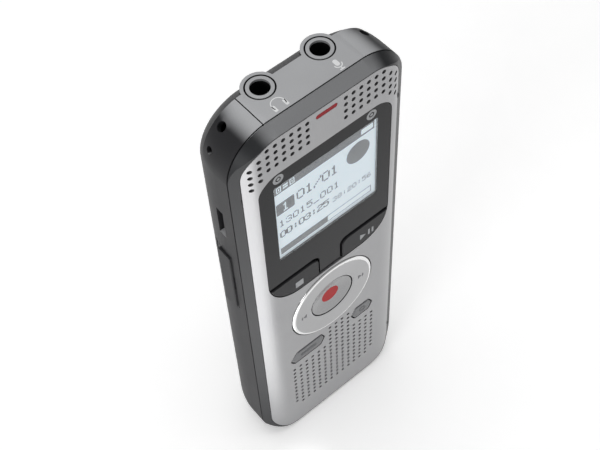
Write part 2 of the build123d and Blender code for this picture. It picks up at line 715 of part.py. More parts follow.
# ==== rear housing: tub with rounded sides, battery bay, cap ledge and side openings ====
JACK_PLACES = [(-JACK_X, JACK_Y), (JACK_X, JACK_Y)]
LEDGE_FRONT_Y = LIP_BACK_Y + 0.16
LEDGE_REAR_Y = FACE_Y + 13.2
BAY_LOW = CELL_LOW - SPRING_LENGTH - CONTACT_T
BAY_HIGH = CELL_LOW + CELL_LENGTH + CONTACT_T
BAY_REAR_Y = FACE_Y + 13.4
BAY_OUT_X = BAY_HALF_W + BAY_WALL
BOSS_FRONT_Y = BOARD_BACK_Y + 0.05
SCREW_BOSS_R = 2.1
SCREW_SEAT_Y = BACK_Y - 7.4
USB_Y = FACE_Y + USB_DEPTH
DOOR_FRONT_Y = BACK_Y - DOOR_EDGE
CARD_FRONT_Y = FACE_Y + CARD_FRONT
CARD_PIN_R = 0.25
CARD_BARREL_R = 0.5
CARD_SWING_R = 0.8        # room for the card door's root to turn in
CARD_PIN_X = -HALF_W + 0.95
CARD_PIN_Y = FACE_Y + CARD_REAR - CARD_BARREL_R - 0.15
CARD_PIN_GRIP = 0.8
HOLD_Y = USB_Y
HOLD_RECESS = 0.8
HOLD_STEM = 1.0
HOLD_STEM_LONG = 2.0


def strap_hole(side, angle, radius):
    """Short pin through the rounded shoulder, square to it, that cuts one strap hole."""
    turn = math.radians(angle)
    direction = Vector(side * math.cos(turn), 0, math.sin(turn))
    centre = Vector(side * (HALF_W - CORNER_R), FACE_Y + STRAP_DEPTH, BODY_HEIGHT - CORNER_R)
    with BuildPart() as pin:
        with BuildSketch(Plane(origin=centre + direction * (CORNER_R - WALL - 1), z_dir=direction)):
            Circle(radius)
        extrude(amount=WALL + 3)
    return pin.part


def seam_ring():
    """Shallow groove all round the outline at the seam of the two housings."""
    deep = SEAM_Y + SEAM_GROOVE
    return rounded_block(-1, SEAM_Y - 1, deep) - rounded_block(SEAM_GROOVE_DEEP, SEAM_Y - 1, deep)


def cap_room(gap):
    """Space of the cap: its rectangle and the round bosses, grown by gap on the left."""
    with BuildPart() as room:
        block((-CAP_LEFT - gap, SEAM_Y - 1, CAP_LOW), (CAP_LEFT, CREASE_Y, BODY_HEIGHT + 1))
        with BuildSketch(Plane.XY.offset(CAP_LOW)):
            with Locations(*JACK_PLACES):
                Circle(BOSS_R + gap / 2)
        extrude(amount=CAP_T)
    return room.part


def door_room(gap):
    """Space of the battery door, grown by gap at both sides and at the top."""
    with BuildPart() as room:
        half = DOOR_HALF_W + gap
        block((-half, DOOR_FRONT_Y - gap, -1), (half, BACK_Y + 1, DOOR_TOP + gap))
    return room.part


def card_room(gap, swing):
    """Space of the card door's leaf and its hinge barrel of radius swing, grown by gap."""
    with BuildPart() as room:
        low = (-HALF_W - 1, CARD_FRONT_Y - gap, CARD_LOW - gap)
        block(low, (CARD_T - HALF_W + gap, CARD_PIN_Y, CARD_HIGH + gap))
        with BuildSketch(Plane.XY.offset(CARD_LOW - gap)):
            with Locations((CARD_PIN_X, CARD_PIN_Y)):
                Circle(swing)
        extrude(amount=CARD_HIGH - CARD_LOW + 2 * gap)
    return room.part


def upright(places, radius, low, high):
    """Round bars along Z at (x, y) places."""
    with BuildPart() as bars:
        with BuildSketch(Plane.XY.offset(low)):
            with Locations(*places):
                Circle(radius)
        extrude(amount=high - low)
    return bars.part


def rearward(places, radius, front_y, rear_y):
    """Round bars along Y at (x, z) places."""
    with BuildPart() as bars:
        with BuildSketch(depth_plane(rear_y)):
            with Locations(*places):
                Circle(radius)
        extrude(amount=rear_y - front_y)
    return bars.part


back_outer = back_form(0, SEAM_Y)
back_shell = back_outer - back_form(WALL, SEAM_Y - 1)
with BuildPart() as inner_walls:
    bay_front_y = BAY_FLOOR_Y - BAY_WALL
    bay_top = BAY_HIGH + BAY_WALL
    bay_low = BAY_LOW - BAY_WALL
    block((-CAP_LEFT - WALL, LEDGE_FRONT_Y, LEDGE_LOW), (CAP_LEFT + WALL, LEDGE_REAR_Y, BODY_HEIGHT))
    block((-BAY_OUT_X, bay_front_y, bay_low), (BAY_OUT_X, BAY_FLOOR_Y, bay_top))
    for side in (-1, 1):
        wall_x = side * (BAY_HALF_W + BAY_OUT_X) / 2
        block((wall_x - BAY_WALL / 2, bay_front_y, bay_low), (wall_x + BAY_WALL / 2, BAY_REAR_Y, bay_top))
    for low in (bay_low, BAY_HIGH):
        block((-HALF_W, bay_front_y, low), (HALF_W, BAY_REAR_Y, low + BAY_WALL))
    add(rearward(SCREW_PLACES, SCREW_BOSS_R, BOSS_FRONT_Y, BACK_Y))
inner_forms = inner_walls.part & back_outer
card_pin_place = [(CARD_PIN_X, CARD_PIN_Y)]
pin_low = CARD_LOW - CARD_PIN_GRIP
pin_high = CARD_HIGH + CARD_PIN_GRIP
with BuildPart() as rear_housing:
    add(back_shell)
    add(inner_forms)
    add(seam_ring(), mode=Mode.SUBTRACT)
    add(cap_room(2 * FIT_GAP), mode=Mode.SUBTRACT)
    add(upright(JACK_PLACES, COLLAR_HOLE_R, LEDGE_LOW - 1, BODY_HEIGHT), mode=Mode.SUBTRACT)
    add(door_room(DOOR_GAP), mode=Mode.SUBTRACT)
    add(card_room(DOOR_GAP, CARD_SWING_R), mode=Mode.SUBTRACT)
    add(upright(card_pin_place, CARD_PIN_R, pin_low, pin_high), mode=Mode.SUBTRACT)
    shank_hole = rearward(SCREW_PLACES, SCREW_R + KEY_GAP, BOSS_FRONT_Y - 1, SCREW_SEAT_Y + 1)
    add(shank_hole, mode=Mode.SUBTRACT)
    add(rearward(SCREW_PLACES, SCREW_HEAD_R + 0.15, SCREW_SEAT_Y, BACK_Y + 1), mode=Mode.SUBTRACT)
    add(strap_hole(-1, STRAP_ANGLES[0], STRAP_HOLE_R), mode=Mode.SUBTRACT)
    add(strap_hole(-1, STRAP_ANGLES[1], STRAP_HOLE_SMALL_R), mode=Mode.SUBTRACT)
    add(strap_hole(1, STRAP_ANGLES[0], STRAP_HOLE_R), mode=Mode.SUBTRACT)
    usb_low = (-HALF_W - 1, USB_Y - USB_H / 2, USB_Z - USB_W / 2)
    block(usb_low, (-HALF_W + WALL + 1, USB_Y + USB_H / 2, USB_Z + USB_W / 2), Mode.SUBTRACT)
    knob_low = HOLD_Z - HOLD_TRAVEL - HOLD_KNOB / 2 - RUN_GAP
    half_wide = HOLD_WIDE / 2 + KEY_GAP
    knob_high = HOLD_Z + HOLD_KNOB / 2 + RUN_GAP
    recess_low = (HALF_W - HOLD_RECESS, HOLD_Y - half_wide, knob_low)
    block(recess_low, (HALF_W + 1, HOLD_Y + half_wide, knob_high), Mode.SUBTRACT)
    half_stem = HOLD_STEM / 2 + FIT_GAP
    slot_bottom = HOLD_Z - HOLD_TRAVEL - HOLD_STEM_LONG / 2 - RUN_GAP
    slot_top = HOLD_Z + HOLD_STEM_LONG / 2 + RUN_GAP
    slot_low = (HALF_W - WALL - 1, HOLD_Y - half_stem, slot_bottom)
    block(slot_low, (HALF_W, HOLD_Y + half_stem, slot_top), Mode.SUBTRACT)
save(rear_housing, "rear_housing")

# ==== top cap: black moulding round the two sockets ====
cap_form = (back_outer & cap_room(0)) + upright(JACK_PLACES, BOSS_R, CAP_LOW, BODY_HEIGHT)
with BuildPart() as top_cap:
    add(cap_form)
    add(seam_ring(), mode=Mode.SUBTRACT)
    lip_room_low = (-CAP_LEFT, SEAM_Y - 1, CAP_LOW)
    block(lip_room_low, (CAP_LEFT, LIP_BACK_Y + FIT_GAP, BODY_HEIGHT - WALL), Mode.SUBTRACT)
    add(upright(JACK_PLACES, COLLAR_HOLE_R, CAP_LOW - 1, BODY_HEIGHT + 1), mode=Mode.SUBTRACT)
save(top_cap, "top_cap")

# ==== two sockets for 3.5 mm plugs, each with a pale collar in the cap ====
JACK_HALF = 3.2
JACK_LOW = BODY_HEIGHT - JACK_DEPTH - 1.0
JACK_HIGH = LEDGE_LOW - 0.05
JACK_REAR_Y = JACK_Y + 2.9
for jack_name, x in (("microphone", JACK_X), ("headphone", -JACK_X)):
    with BuildPart() as jack:
        block((x - JACK_HALF, BOARD_BACK_Y, JACK_LOW), (x + JACK_HALF, JACK_REAR_Y, JACK_HIGH))
        add(upright([(x, JACK_Y)], COLLAR_R, JACK_HIGH - 1, BODY_HEIGHT - COLLAR_T))
        add(upright([(x, JACK_Y)], JACK_BORE_R, BODY_HEIGHT - JACK_DEPTH, BODY_HEIGHT), mode=Mode.SUBTRACT)
    save(jack, f"{jack_name}_jack")
    with BuildPart() as collar:
        add(upright([(x, JACK_Y)], COLLAR_R, BODY_HEIGHT - COLLAR_T, BODY_HEIGHT))
        add(upright([(x, JACK_Y)], JACK_BORE_R, CAP_LOW - 1, BODY_HEIGHT + 1), mode=Mode.SUBTRACT)
    save(collar, f"{jack_name}_collar")

# ==== battery door: slides down off the back, on a rail at each side ====
RAIL_LOW = 23.0
RAIL_HIGH = 50.0
RAIL_WEB_X = (DOOR_HALF_W - 1.0, DOOR_HALF_W - 0.3)
RAIL_OUT_X = DOOR_HALF_W + 0.7
RAIL_Y = (DOOR_FRONT_Y - 0.3, DOOR_FRONT_Y + 0.15)
LATCH_HALF_W = 2.0
LATCH_TOP = DOOR_TOP + 1.5
latch_rear_y = BACK_Y - WALL - 0.1
with BuildPart() as door_rails:
    for side in (-1, 1):
        web_low, web_high = sorted((side * RAIL_WEB_X[0], side * RAIL_WEB_X[1]))
        block((web_low, RAIL_Y[0], RAIL_LOW), (web_high, BACK_Y, RAIL_HIGH))
        rail_low, rail_high = sorted((side * RAIL_WEB_X[0], side * RAIL_OUT_X))
        block((rail_low, RAIL_Y[0], RAIL_LOW), (rail_high, RAIL_Y[1], RAIL_HIGH))
    latch_low = (-LATCH_HALF_W, latch_rear_y - 0.8, DOOR_TOP - 2)
    block(latch_low, (LATCH_HALF_W, latch_rear_y, LATCH_TOP))
    block(latch_low, (LATCH_HALF_W, BACK_Y - 0.5, DOOR_TOP - 0.5))
rail_forms = door_rails.part & back_outer
GRIP_RIDGES = 5
GRIP_PITCH = 1.6
GRIP_TOP = 50.0
GRIP_HALF_W = 4.5
with BuildPart() as battery_door:
    add(back_shell & door_room(0))
    add(rail_forms)
    for ridge in range(GRIP_RIDGES):
        z = GRIP_TOP - ridge * GRIP_PITCH
        block((-GRIP_HALF_W, BACK_Y - 0.3, z - 0.4), (GRIP_HALF_W, BACK_Y + 1, z + 0.4), Mode.SUBTRACT)
save(battery_door, "battery_door")

# ==== two AAA cells, one each way up, with contacts and coil springs at the flat ends ====
CELL_RIM_R = 0.4
SPRING_R = 2.4
SPRING_WIRE_R = 0.22
SPRING_TURNS = 4
CONTACT_HALF = 3.2
bay_floor_z = BAY_LOW + CONTACT_T
bay_roof_z = BAY_HIGH - CONTACT_T
for cell_name, x, nub_up in (("battery_left", -CELL_X, True), ("battery_right", CELL_X, False)):
    low = bay_roof_z - CELL_LENGTH if nub_up else bay_floor_z
    can_low = low if nub_up else low + CELL_NUB
    can_high = can_low + CELL_LENGTH - CELL_NUB
    with BuildPart() as cell:
        add(upright([(x, CELL_Y)], CELL_R, can_low, can_high))
        fillet(cell.edges(), CELL_RIM_R)
        add(upright([(x, CELL_Y)], CELL_NUB_R, low, low + CELL_LENGTH))
    save(cell, cell_name)

with BuildPart() as battery_springs:
    wire_rise = SPRING_LENGTH - 2 * SPRING_WIRE_R
    for x, low in ((-CELL_X, bay_floor_z), (CELL_X, bay_roof_z - SPRING_LENGTH)):
        coil = Helix(pitch=wire_rise / SPRING_TURNS, height=wire_rise, radius=SPRING_R)
        coil = coil.moved(Location((x, CELL_Y, low + SPRING_WIRE_R)))
        wire_plane = Plane(origin=coil @ 0, z_dir=coil % 0)
        with BuildSketch(wire_plane) as wire_end:
            Circle(SPRING_WIRE_R)
        sweep(wire_end.sketch, path=coil)
save(battery_springs, "battery_springs")

with BuildPart() as battery_contacts:
    for x in (-CELL_X, CELL_X):
        for low in (BAY_LOW, bay_roof_z):
            plate_low = (x - CONTACT_HALF, CELL_Y - CONTACT_HALF, low)
            block(plate_low, (x + CONTACT_HALF, CELL_Y + CONTACT_HALF - 2, low + CONTACT_T))
save(battery_contacts, "battery_contacts")

# ==== four case screws, driven in from the back ====
SCREW_TIP_Y = FACE_Y + 2.5
CROSS_W = 0.35
CROSS_L = 1.5
CROSS_DEEP = 0.5
with BuildPart() as case_screws:
    add(rearward(SCREW_PLACES, SCREW_R, SCREW_TIP_Y, SCREW_SEAT_Y))
    add(rearward(SCREW_PLACES, SCREW_HEAD_R, SCREW_SEAT_Y, SCREW_SEAT_Y + SCREW_HEAD_T))
    with BuildSketch(depth_plane(SCREW_SEAT_Y + SCREW_HEAD_T)):
        with Locations(*SCREW_PLACES):
            Rectangle(CROSS_L, CROSS_W)
            Rectangle(CROSS_W, CROSS_L)
    extrude(amount=CROSS_DEEP, mode=Mode.SUBTRACT)
save(case_screws, "case_screws")

# ==== USB socket on the left side, on the back of the board ====
USB_BODY_X = (-HALF_W + WALL + 0.25, -HALF_W + 5.85)
USB_SHELL = 0.35
with BuildPart() as usb_socket:
    rear_y = 2 * USB_Y - BOARD_BACK_Y
    half_w = USB_W / 2 + USB_SHELL
    block((USB_BODY_X[0], BOARD_BACK_Y, USB_Z - half_w), (USB_BODY_X[1], rear_y, USB_Z + half_w))
    slot_low = (USB_BODY_X[0], USB_Y - USB_H / 2, USB_Z - USB_W / 2)
    block(slot_low, (USB_BODY_X[1] - 0.5, USB_Y + USB_H / 2, USB_Z + USB_W / 2), Mode.SUBTRACT)
    tongue_low = (USB_BODY_X[0] + 0.6, USB_Y - USB_H / 2 + 0.25, USB_Z - USB_W / 2 + 1.2)
    block(tongue_low, (USB_BODY_X[1] - 0.3, USB_Y - 0.1, USB_Z + USB_W / 2 - 1.2))
save(usb_socket, "usb_socket")

# ==== memory card socket behind the side door ====
CARD_SOCKET_X = (-HALF_W + 2.35, -HALF_W + 15.35)
CARD_SOCKET_Z = (CARD_LOW + 2.0, CARD_HIGH - 2.0)
CARD_SOCKET_REAR_Y = BOARD_BACK_Y + 1.9
CARD_SLOT_T = 0.9
CARD_SLOT_MARGIN = 1.4
with BuildPart() as card_socket:
    low = (CARD_SOCKET_X[0], BOARD_BACK_Y, CARD_SOCKET_Z[0])
    block(low, (CARD_SOCKET_X[1], CARD_SOCKET_REAR_Y, CARD_SOCKET_Z[1]))
    slot_low = (CARD_SOCKET_X[0], BOARD_BACK_Y + 0.5, CARD_SOCKET_Z[0] + CARD_SLOT_MARGIN)
    slot_rear_y = BOARD_BACK_Y + 0.5 + CARD_SLOT_T
    slot_high = (CARD_SOCKET_X[1] - 1, slot_rear_y, CARD_SOCKET_Z[1] - CARD_SLOT_MARGIN)
    block(slot_low, slot_high, Mode.SUBTRACT)
save(card_socket, "card_socket")

# ==== card door: leaf flush with the rounded side, hinged on a steel pin at its rear edge ====
card_leaf = back_outer & card_room(0, CARD_BARREL_R)
with BuildPart() as card_door:
    add(card_leaf)
    add(upright(card_pin_place, CARD_PIN_R + 0.05, CARD_LOW - 1, CARD_HIGH + 1), mode=Mode.SUBTRACT)
    notch_low = (-HALF_W - 1, CARD_FRONT_Y, (CARD_LOW + CARD_HIGH) / 2 - 2)
    block(notch_low, (-HALF_W + 0.4, CARD_FRONT_Y + 0.6, (CARD_LOW + CARD_HIGH) / 2 + 2), Mode.SUBTRACT)
save(card_door, "card_door")

with BuildPart() as card_door_pin:
    add(upright(card_pin_place, CARD_PIN_R, pin_low, pin_high))
save(card_door_pin, "card_door_pin")

# ==== hold switch: sliding knob on the right side, and the switch body on the board ====
KNOB_X = (HALF_W - HOLD_RECESS + 0.05, HALF_W)
HOLD_BODY_X = (HALF_W - 5.95, HALF_W - 2.25)
HOLD_RIDGE = 0.35
with BuildPart() as hold_switch:
    half_wide = HOLD_WIDE / 2
    half_long = HOLD_KNOB / 2
    knob_start = (KNOB_X[0], HOLD_Y - half_wide, HOLD_Z - half_long)
    block(knob_start, (KNOB_X[1], HOLD_Y + half_wide, HOLD_Z + half_long))
    fillet(hold_switch.edges().filter_by(Axis.X), 0.6)
    for step in (-1, 0, 1):
        z = HOLD_Z + step * 1.2
        ridge_low = (HALF_W - 0.25, HOLD_Y - HOLD_WIDE, z - HOLD_RIDGE / 2)
        block(ridge_low, (HALF_W + 1, HOLD_Y + HOLD_WIDE, z + HOLD_RIDGE / 2), Mode.SUBTRACT)
    stem_low = (HOLD_BODY_X[1] + 0.1, HOLD_Y - HOLD_STEM / 2, HOLD_Z - HOLD_STEM_LONG / 2)
    block(stem_low, (KNOB_X[0] + 0.1, HOLD_Y + HOLD_STEM / 2, HOLD_Z + HOLD_STEM_LONG / 2))
save(hold_switch, "hold_switch")

with BuildPart() as hold_switch_body:
    body_low = (HOLD_BODY_X[0], BOARD_BACK_Y, HOLD_Z - HOLD_TRAVEL - HOLD_STEM_LONG)
    block(body_low, (HOLD_BODY_X[1], HOLD_Y + 1.4, HOLD_Z + HOLD_STEM_LONG))
save(hold_switch_body, "hold_switch_body")
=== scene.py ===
"""Looks of a handheld voice recorder: metal face, dark window, lit display, sprung keys, rocking ring.

The sections follow the object as it is put together. Lengths are in metres; MM turns
millimetres into them.
"""

import math

import bmesh
import bpy
from mathutils import Matrix, Vector


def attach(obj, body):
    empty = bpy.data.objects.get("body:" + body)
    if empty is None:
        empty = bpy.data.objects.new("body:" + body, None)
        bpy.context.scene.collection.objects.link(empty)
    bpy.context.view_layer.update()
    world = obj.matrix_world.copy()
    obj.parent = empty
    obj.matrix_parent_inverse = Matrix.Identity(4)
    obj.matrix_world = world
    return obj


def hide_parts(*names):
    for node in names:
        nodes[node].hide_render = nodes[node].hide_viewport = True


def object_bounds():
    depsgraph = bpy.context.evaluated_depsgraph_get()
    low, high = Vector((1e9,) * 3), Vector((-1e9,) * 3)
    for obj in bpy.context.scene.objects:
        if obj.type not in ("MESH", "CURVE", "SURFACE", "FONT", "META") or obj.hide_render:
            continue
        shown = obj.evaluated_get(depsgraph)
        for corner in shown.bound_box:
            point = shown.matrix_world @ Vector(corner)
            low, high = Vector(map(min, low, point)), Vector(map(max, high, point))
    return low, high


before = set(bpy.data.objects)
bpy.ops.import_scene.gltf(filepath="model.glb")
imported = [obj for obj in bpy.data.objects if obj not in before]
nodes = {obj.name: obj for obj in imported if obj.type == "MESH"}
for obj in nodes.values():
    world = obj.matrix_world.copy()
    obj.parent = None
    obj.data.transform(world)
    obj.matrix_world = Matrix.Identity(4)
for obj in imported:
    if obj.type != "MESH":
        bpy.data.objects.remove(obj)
cad_low, cad_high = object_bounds()
MM = 0.001
CASE = "case"

# ==== face plate ====
# Pressed aluminium sheet, lightly brushed along its length and clear anodised.
# The curve at both long edges catches the light; the flat stays an even satin grey.


def tone(code):
    """Linear colour of an sRGB hex value."""
    parts = [int(code[i : i + 2], 16) / 255 for i in (1, 3, 5)]
    linear = [c / 12.92 if c <= 0.04045 else ((c + 0.055) / 1.055) ** 2.4 for c in parts]
    return (*linear, 1.0)


def add_node(tree, kind, inputs=None, **settings):
    """Adds one node, sets its properties, then sets or links its inputs by name or index."""
    node = tree.nodes.new(kind)
    for name, value in settings.items():
        setattr(node, name, value)
    for name, value in (inputs or {}).items():
        if isinstance(value, bpy.types.NodeSocket):
            tree.links.new(value, node.inputs[name])
        else:
            node.inputs[name].default_value = value
    return node


GRAIN_SPAN = (0.3, 0.7)


def ramp_between(tree, share, light, dark):
    """Colour that runs from dark to light as the grain's value rises."""
    colour = add_node(tree, "ShaderNodeValToRGB", {0: share})
    for element, place, code in zip(colour.color_ramp.elements, GRAIN_SPAN, (dark, light)):
        element.position = place
        element.color = tone(code)
    return colour.outputs[0]


CLOUD_SCALE = 90.0
# Range of upward facing over which the painted top sheen fades in.
SHEEN_RISE = (0.82, 1.0)


def finish_of(name, light, dark, grain, rough, bump=0.0, stretch=(1, 1, 1), top_sheen=None, **shader):
    """Material whose colour and roughness vary over a grain of the given size, with a fine bump.

    The tones for faces that look up, where given, are a painted sheen: a paler colour that stands in for
    the bright light those faces reflect from above.
    """
    material = bpy.data.materials.new(name)
    material.use_nodes = True
    tree = material.node_tree
    tree.nodes.clear()
    place = add_node(tree, "ShaderNodeTexCoord")
    laid = add_node(tree, "ShaderNodeMapping", {"Vector": place.outputs["Object"], "Scale": stretch})
    fine = add_node(
        tree, "ShaderNodeTexNoise", {"Vector": laid.outputs[0], "Scale": 1 / grain, "Detail": 3.0}
    )
    cloud = add_node(
        tree, "ShaderNodeTexNoise", {"Vector": place.outputs["Object"], "Scale": CLOUD_SCALE, "Detail": 2.0}
    )
    both = add_node(
        tree, "ShaderNodeMath", {0: fine.outputs["Fac"], 1: cloud.outputs["Fac"]}, operation="ADD"
    )
    half = add_node(tree, "ShaderNodeMath", {0: both.outputs[0], 1: 0.5}, operation="MULTIPLY")
    colour = ramp_between(tree, half.outputs[0], light, dark)
    # Painted sheen: faces that look up blend to the paler tones, standing in for the light they reflect
    # from above.
    if top_sheen:
        facing = add_node(tree, "ShaderNodeNewGeometry")
        rise = add_node(tree, "ShaderNodeSeparateXYZ", {0: facing.outputs["Normal"]})
        sheen_share = add_node(
            tree,
            "ShaderNodeMapRange",
            {"Value": rise.outputs["Z"], "From Min": SHEEN_RISE[0], "From Max": SHEEN_RISE[1]},
            interpolation_type="SMOOTHSTEP",
        )
        sheen_mix = add_node(tree, "ShaderNodeMix", {"Factor": sheen_share.outputs[0]}, data_type="RGBA")
        tree.links.new(colour, sheen_mix.inputs["A"])
        tree.links.new(ramp_between(tree, half.outputs[0], *top_sheen), sheen_mix.inputs["B"])
        colour = sheen_mix.outputs["Result"]
    sheen = add_node(
        tree,
        "ShaderNodeMapRange",
        {
            "Value": half.outputs[0],
            "From Min": GRAIN_SPAN[0],
            "From Max": GRAIN_SPAN[1],
            "To Min": rough[0],
            "To Max": rough[1],
        },
    )
    surface = add_node(
        tree, "ShaderNodeBsdfPrincipled", {"Base Color": colour, "Roughness": sheen.outputs[0], **shader}
    )
    if bump:
        relief = add_node(
            tree, "ShaderNodeBump", {"Height": fine.outputs["Fac"], "Strength": 1.0, "Distance": bump}
        )
        tree.links.new(relief.outputs[0], surface.inputs["Normal"])
    add_node(tree, "ShaderNodeOutputMaterial", {"Surface": surface.outputs[0]})
    return material


def coat(material, *names):
    """Gives CAD nodes a material."""
    for name in names:
        for held in nodes[name].material_slots:
            held.material = material
        if not nodes[name].material_slots:
            nodes[name].data.materials.append(material)


BRUSH_GRAIN = 0.10 * MM
anodised = finish_of(
    "anodised_brushed_aluminium",
    "#A4A4A5",
    "#98989A",
    BRUSH_GRAIN,
    (0.28, 0.38),
    bump=0.0015 * MM,
    stretch=(1, 1, 0.04),
    Metallic=0.75,
)
coat(anodised, "front_plate")

# ==== front housing ====
# ABS moulding with a dark satin paint. It shows as the bevelled band all round the plate. Its faces that
# look up carry a painted sheen, a paler grey that stands in for the bright light they reflect from above.
PAINTED_TOP_SHEEN = ("#BEBFC1", "#B2B3B5")
band_paint = finish_of(
    "satin_grey_paint",
    "#2F3032",
    "#27282A",
    0.12 * MM,
    (0.34, 0.44),
    bump=0.002 * MM,
    top_sheen=PAINTED_TOP_SHEEN,
    Metallic=0.15,
    **{"Specular IOR Level": 0.2},
)
coat(band_paint, "front_housing")

# ==== rear housing, battery door and card door ====
# One dark ABS moulding with a fine spark-eroded texture, and its two doors in the same plastic. The
# moulding's upward faces carry the same painted sheen, a paler grey standing in for the light they reflect
# from above, but the doors do not.
DARK_COAT = ("#2E2E30", "#262628", 0.16 * MM, (0.42, 0.54), 0.006 * MM)
DULL = {"Specular IOR Level": 0.16}
dark_abs = finish_of("eroded_dark_abs", *DARK_COAT, **DULL)
coat(dark_abs, "battery_door", "card_door")
dark_abs_with_sheen = finish_of("dark_abs_painted_sheen", *DARK_COAT, top_sheen=PAINTED_TOP_SHEEN, **DULL)
coat(dark_abs_with_sheen, "rear_housing")

# ==== top cap ====
# Polycarbonate strip round the two sockets, satin painted a little lighter than the case. Its faces that
# look up carry a painted sheen, a pale grey standing in for the light they reflect from above, so it fades
# to the dark of the case where the cap curves down at both ends.
cap_paint = finish_of(
    "satin_cap_paint",
    "#3E3F41",
    "#353638",
    0.12 * MM,
    (0.34, 0.44),
    bump=0.002 * MM,
    top_sheen=PAINTED_TOP_SHEEN,
    Metallic=0.3,
)
coat(cap_paint, "top_cap")

# ==== sockets and their collars ====
# Black moulded nylon bodies of two round sockets, let into the top end.
# Each collar is a pale satin ring pressed into the cap round its socket's mouth.
jack_black = finish_of(
    "moulded_black_nylon", "#161617", "#0E0E0F", 0.2 * MM, (0.35, 0.5), bump=0.004 * MM, IOR=1.5
)
collar_satin = finish_of(
    "satin_collar_nylon", "#CBCCCE", "#BEBFC1", 0.1 * MM, (0.25, 0.35), Metallic=0.5
)
coat(jack_black, "headphone_jack", "microphone_jack")
coat(collar_satin, "headphone_collar", "microphone_collar")

# ==== card door cover ====
# Textured panel on the outside of the card door, in the same dark plastic, with softened edges.
# It stands a little proud of the side.


def arc(x, y, radius, start, end, steps=24):
    """Points of an arc in millimetres, angles in degrees."""
    angles = [math.radians(start + (end - start) * i / steps) for i in range(steps + 1)]
    return [(x + radius * math.cos(a), y + radius * math.sin(a)) for a in angles]


def circle(x, y, radius, steps=40):
    """Closed outline of a circle in millimetres."""
    return arc(x, y, radius, 0, 360 * (steps - 1) / steps, steps - 1)


def box_outline(low_x, low_y, high_x, high_y, corner=0.0):
    """Closed outline of a rectangle in millimetres, with round corners if asked."""
    if not corner:
        return [(low_x, low_y), (high_x, low_y), (high_x, high_y), (low_x, high_y)]
    points = arc(high_x - corner, high_y - corner, corner, 0, 90, 8)
    points += arc(low_x + corner, high_y - corner, corner, 90, 180, 8)
    points += arc(low_x + corner, low_y + corner, corner, 180, 270, 8)
    return points + arc(high_x - corner, low_y + corner, corner, 270, 360, 8)


def cut_sheet(name, loops, thick, edge=0.0):
    """Flat piece in its own XY plane from outlines in millimetres; inner outlines are holes."""
    curve = bpy.data.curves.new(name, "CURVE")
    curve.dimensions = "2D"
    curve.fill_mode = "BOTH"
    curve.extrude = (thick / 2 - edge) * MM
    curve.bevel_depth = edge * MM
    curve.bevel_resolution = 3
    curve.offset = -edge * MM
    for loop in loops:
        spline = curve.splines.new("POLY")
        spline.points.add(len(loop) - 1)
        for point, (x, y) in zip(spline.points, loop):
            point.co = (x * MM, y * MM, 0, 1)
        spline.use_cyclic_u = True
    holder = bpy.data.objects.new(name, curve)
    bpy.context.scene.collection.objects.link(holder)
    bpy.context.view_layer.update()
    mesh = bpy.data.meshes.new_from_object(holder.evaluated_get(bpy.context.evaluated_depsgraph_get()))
    bpy.data.objects.remove(holder)
    return mesh


def set_piece(name, mesh, material, body, place=None):
    """Puts a mesh into the scene as one piece, with its place in its points."""
    if place is not None:
        mesh.transform(place)
    form = bmesh.new()
    form.from_mesh(mesh)
    bmesh.ops.remove_doubles(form, verts=form.verts, dist=1e-7)
    bmesh.ops.recalc_face_normals(form, faces=form.faces)
    form.to_mesh(mesh)
    form.free()
    mesh.materials.clear()
    mesh.materials.append(material)
    piece = bpy.data.objects.new(name, mesh)
    bpy.context.scene.collection.objects.link(piece)
    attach(piece, body)
    return piece


def on_face(front_y, thick):
    """Turns a flat piece's XY to the object's X and Z, with its front face at this y in millimetres."""
    return Matrix.Translation((0, (front_y + thick / 2) * MM, 0)) @ Matrix.Rotation(math.pi / 2, 4, "X")


def on_top(top_z, thick):
    """Keeps a flat piece's XY, with its upper face at this z in millimetres."""
    return Matrix.Translation((0, 0, (top_z - thick / 2) * MM))


def on_side(outer_x, thick):
    """Turns a flat piece's XY to the object's Y and Z, with its outer face at this x on the left side."""
    turn = Matrix(((0, 0, -1, 0), (1, 0, 0, 0), (0, 1, 0, 0), (0, 0, 0, 1)))
    return Matrix.Translation(((outer_x + thick / 2) * MM, 0, 0)) @ turn


DOOR_COVER_T = 0.7
DOOR_COVER_X = -19.75
DOOR_COVER_EDGE = 0.18
door_outline = box_outline(-3.9, 56.15, -0.45, 74.05, 0.5)
cover = cut_sheet("card_door_cover", [door_outline], DOOR_COVER_T, edge=DOOR_COVER_EDGE)
place = on_side(DOOR_COVER_X, DOOR_COVER_T)
set_piece("card_door_cover", cover, dark_abs, "card door", place)

# ==== printed marks on the cap ====
# White pad-printed pictograms: headphones beside the left socket, a microphone beside the right.
# Each is made of flat sheets three hundredths of a millimetre thick, laid on the cap.
print_white = finish_of("pad_print_white", "#F2F3F3", "#E6E7E8", 0.15 * MM, (0.45, 0.6), IOR=1.5)
MARK_T = 0.03
MARK_SUNK = 0.005
MARK_STEP = 0.001
CAP_TOP = cad_high.z / MM
headphone_x, headphone_y = -6.4, -4.75
band = arc(headphone_x, headphone_y, 1.4, -30, 210) + arc(headphone_x, headphone_y, 1.22, 210, -30)
pads = []
for side in (-1, 1):
    pad_x = headphone_x + side * 1.15
    pads.append(box_outline(pad_x - 0.32, headphone_y - 1.15, pad_x + 0.32, headphone_y + 0.2, 0.2))
MARK_TOP = CAP_TOP + MARK_T - MARK_SUNK
for index, loop in enumerate([band, *pads]):
    sheet = cut_sheet("headphone_mark", [loop], MARK_T)
    set_piece(
        f"headphone_mark_{index}", sheet, print_white, CASE, on_top(MARK_TOP, MARK_T)
    )
mic_x, mic_y = 6.35, -4.7
mic_head = box_outline(mic_x - 0.42, mic_y - 0.35, mic_x + 0.42, mic_y + 1.15, 0.4)
mic_yoke = arc(mic_x, mic_y, 0.85, 180, 360) + arc(mic_x, mic_y, 0.65, 360, 180)
